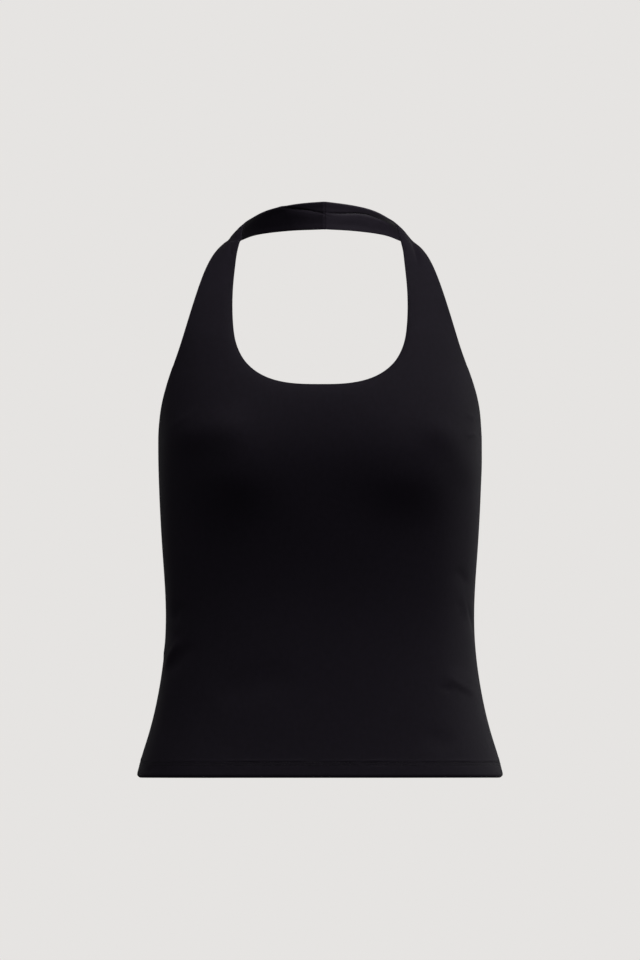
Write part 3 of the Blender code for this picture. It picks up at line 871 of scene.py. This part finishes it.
def floor():
    """A wide, plain pale floor far below the top. It glows like the backdrop and throws no light up."""
    turns = np.linspace(0, 2 * np.pi, FLOOR_CORNERS + 1)[:-1]
    corners = [(FLOOR_RADIUS * np.cos(turn), FLOOR_RADIUS * np.sin(turn), FLOOR_Z) for turn in turns]
    mesh = bpy.data.meshes.new("floor")
    mesh.from_pydata(corners, [], [range(FLOOR_CORNERS)])
    item = link("floor", mesh)
    item.visible_diffuse = item.visible_glossy = False
    material = bpy.data.materials.new("floor")
    material.use_nodes = True
    shader = material.node_tree.nodes["Principled BSDF"]
    shader.inputs["Base Color"].default_value = [FLOOR_SHADE * value for value in BACKGROUND[:3]] + [1]
    shader.inputs["Roughness"].default_value = 0.9
    shader.inputs["Emission Color"].default_value = BACKGROUND
    shader.inputs["Emission Strength"].default_value = FLOOR_GLOW
    mesh.materials.append(material)


def world():
    """A plain pale backdrop all round, which lights the top only a little."""
    made = bpy.data.worlds.new("backdrop")
    bpy.context.scene.world = made
    made.use_nodes = True
    nodes, links = made.node_tree.nodes, made.node_tree.links
    nodes.clear()
    seen, light = nodes.new("ShaderNodeBackground"), nodes.new("ShaderNodeBackground")
    seen.inputs["Color"].default_value = BACKGROUND
    light.inputs["Color"].default_value = (1, 1, 1, 1)
    light.inputs["Strength"].default_value = AMBIENT
    path, mix, out = (nodes.new("ShaderNode" + kind) for kind in ("LightPath", "MixShader", "OutputWorld"))
    links.new(path.outputs["Is Camera Ray"], mix.inputs["Fac"])
    links.new(light.outputs["Background"], mix.inputs[1])
    links.new(seen.outputs["Background"], mix.inputs[2])
    links.new(mix.outputs["Shader"], out.inputs["Surface"])


def hang_light(data, watts, middle, azimuth, elevation, away):
    """Places a light at its angles round a point, and turns it to the point."""
    around, up = np.radians(azimuth), np.radians(elevation)
    way = Vector((np.sin(around) * np.cos(up), -np.cos(around) * np.cos(up), np.sin(up)))
    data.energy = watts
    item = bpy.data.objects.new(data.name, data)
    item.location = Vector(middle) + way * away
    item.rotation_euler = (-way).to_track_quat("-Z", "Y").to_euler()
    bpy.context.scene.collection.objects.link(item)


def lights():
    """Soft boxes round the top, weaker on the left and narrow behind, and a spot on the band."""
    for name, azimuth, elevation, away, width, height, watts in LIGHTS:
        data = bpy.data.lights.new(name, "AREA")
        data.shape, data.size, data.size_y = "RECTANGLE", width, height
        hang_light(data, watts, LIGHTS_AIM, azimuth, elevation, away)
    spot = bpy.data.lights.new("band_spot", "SPOT")
    spot.spot_size, spot.spot_blend, spot.shadow_soft_size = np.radians(BAND_CONE), BAND_BLEND, BAND_SOFT
    spot.color = BAND_COLOR
    hang_light(spot, BAND_WATTS, BAND_AIM, BAND_AZIMUTH, BAND_ELEVATION, BAND_AWAY)


def camera():
    """A long lens straight before the top, level with its middle."""
    data = bpy.data.cameras.new("camera")
    data.lens, data.sensor_width = CAMERA_LENS, 36.0
    data.clip_start, data.clip_end = 0.5, 60.0
    item = bpy.data.objects.new("camera", data)
    x, y, z = to_row((0.0, 0.0, -CAMERA_DROP))
    item.location = (x, y - CAMERA_AWAY, z)
    item.rotation_euler = (np.pi / 2, 0, 0)
    bpy.context.scene.collection.objects.link(item)
    bpy.context.scene.camera = item


# ------------------------------------------------------------------------------------------- everything

camera()
world()
lights()
floor()

cloth_look, thread_look = jersey(), thread()
front, front_seats = finish_panel("front_cloth", *front_cloth(), ("front", "band"))
back, back_seats = finish_panel("back_cloth", *back_cloth(), ("back",))
front_stitches = stitches("hem_stitches_front", front_seats)
back_stitches = stitches("hem_stitches_back", back_seats)
for piece in (front, back):
    piece.data.materials.append(cloth_look)
for piece in (front_stitches, back_stitches):
    piece.data.materials.append(thread_look)
for piece, node in ((front, "front_panel"), (back, "back_panel")):
    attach(piece, "root")
    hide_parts(node)
for piece, node in ((front_stitches, "front_panel"), (back_stitches, "back_panel")):
    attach(piece, "root")

bpy.context.scene.view_settings.view_transform = "Standard"
